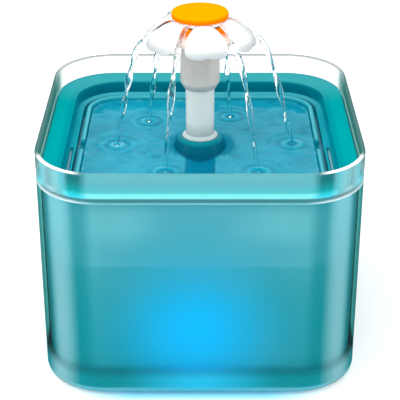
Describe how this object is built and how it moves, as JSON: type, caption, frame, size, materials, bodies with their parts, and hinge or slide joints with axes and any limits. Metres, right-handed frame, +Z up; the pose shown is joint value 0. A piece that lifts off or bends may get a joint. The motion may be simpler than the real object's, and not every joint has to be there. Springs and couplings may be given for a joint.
{
  "type": "pet water fountain",
  "caption": "Square pet water fountain with a translucent tank, a drinking tray and a flower spout on a stem, fed by a small pump through a filter.",
  "frame": {"origin": "middle of the footprint, on the surface that the feet stand on", "axes": "+Z up, -Y towards the front, +X to the right seen from the front"},
  "size_m": [0.18, 0.18, 0.1984],
  "materials": {
    "shell_clear": "clear polished plastic",
    "reservoir_teal": "translucent teal plastic",
    "rubber_grey": "soft matte rubber",
    "frame_teal": "glossy teal plastic",
    "basket_white": "fine satin plastic",
    "tray_teal": "glossy light teal plastic",
    "carbon_black": "granules, matte",
    "cotton_white": "matte fibre pad",
    "stem_white": "satin white plastic",
    "petal_white": "smooth white plastic",
    "core_orange": "smooth orange plastic",
    "pump_black": "fine textured black plastic",
    "ceramic_white": "polished",
    "core_steel": "laminated, bare edges",
    "coil_copper": "enamelled copper wire",
    "potting_black": "cast epoxy",
    "rubber_black": "matte rubber",
    "pipe_clear": "clear plastic tube",
    "board_green": "circuit board",
    "magnet_dark": "sintered magnet",
    "impeller_white": "moulded plastic",
    "foam_blue": "open-cell foam",
    "rubber_clear": "soft clear rubber",
    "lens_blue": "clear lens, lit"
  },
  "bodies": {
    "tank": {"outer_shell": "shell_clear", "inner_tank": "reservoir_teal", "foot_pad_1": "rubber_grey", "foot_pad_2": "rubber_grey", "foot_pad_3": "rubber_grey", "foot_pad_4": "rubber_grey", "cable_grommet": "rubber_grey"},
    "cover": {"splash_ring": "shell_clear", "cover_frame": "frame_teal", "filter_basket": "basket_white", "basket_grid": "basket_white"},
    "tray": {"drinking_tray": "tray_teal"},
    "filter": {"filter_frame": "basket_white", "filter_carbon": "carbon_black", "filter_cotton": "cotton_white"},
    "stem": {"riser_stem": "stem_white", "stem_seal": "rubber_grey"},
    "socket": {"flower_socket": "petal_white"},
    "flower": {"petal_cap": "petal_white", "flower_spreader": "core_orange"},
    "core": {"flower_core": "core_orange"},
    "pump": {"pump_housing": "pump_black", "rear_bush": "ceramic_white", "stator_core": "core_steel", "stator_coil_front": "coil_copper", "stator_coil_rear": "coil_copper", "pump_potting": "potting_black", "cable_gland": "rubber_black", "riser_pipe": "pipe_clear", "suction_cup_1": "rubber_clear", "suction_cup_2": "rubber_clear", "suction_cup_3": "rubber_clear", "suction_cup_4": "rubber_clear", "led_bar": "pump_black", "led_board": "board_green", "led_lens_1": "lens_blue", "led_lens_2": "lens_blue", "led_lens_3": "lens_blue"},
    "rotor": {"impeller_shaft": "ceramic_white", "rotor_magnet": "magnet_dark", "impeller": "impeller_white"},
    "pump_front": {"pump_cover": "pump_black", "intake_plate": "pump_black", "foam_prefilter": "foam_blue"},
    "flow": {"flow_slider": "impeller_white"}
  },
  "joints": [
    {"name": "cover_lift", "type": "slide", "parent": "tank", "child": "cover", "axis": [0, 0, 1], "range_m": [0, 0.13]},
    {"name": "tray_lift", "type": "slide", "parent": "cover", "child": "tray", "axis": [0, 0, 1], "range_m": [0, 0.15]},
    {"name": "filter_lift", "type": "slide", "parent": "cover", "child": "filter", "axis": [0, 0, 1], "range_m": [0, 0.075]},
    {"name": "stem_pull", "type": "slide", "parent": "tray", "child": "stem", "axis": [0, 0, 1], "range_m": [0, 0.03]},
    {"name": "socket_pull", "type": "slide", "parent": "stem", "child": "socket", "axis": [0, 0, 1], "range_m": [0, 0.022]},
    {"name": "petal_turn", "type": "hinge", "parent": "socket", "child": "flower", "pos_m": [0, 0, 0.1802], "axis": [0, 0, 1], "continuous": true},
    {"name": "core_pull", "type": "slide", "parent": "flower", "child": "core", "axis": [0, 0, 1], "range_m": [0, 0.012]},
    {"name": "pump_lift", "type": "slide", "parent": "tank", "child": "pump", "axis": [0, 0, 1], "range_m": [0, 0.0585]},
    {"name": "rotor_spin", "type": "hinge", "parent": "pump", "child": "rotor", "pos_m": [0, -0.002, 0.0321], "axis": [0, -1, 0], "continuous": true},
    {"name": "pump_cover_pull", "type": "slide", "parent": "pump", "child": "pump_front", "axis": [0, -1, 0], "range_m": [0, 0.025]},
    {"name": "flow_slide", "type": "slide", "parent": "pump_front", "child": "flow", "axis": [1, 0, 0], "range_m": [0, 0.008]}
  ],
  "couplings": [
    {"joint": "filter_lift", "follows": "tray_lift", "ratio": 0.5},
    {"joint": "pump_lift", "follows": "cover_lift", "ratio": 0.45}
  ]
}
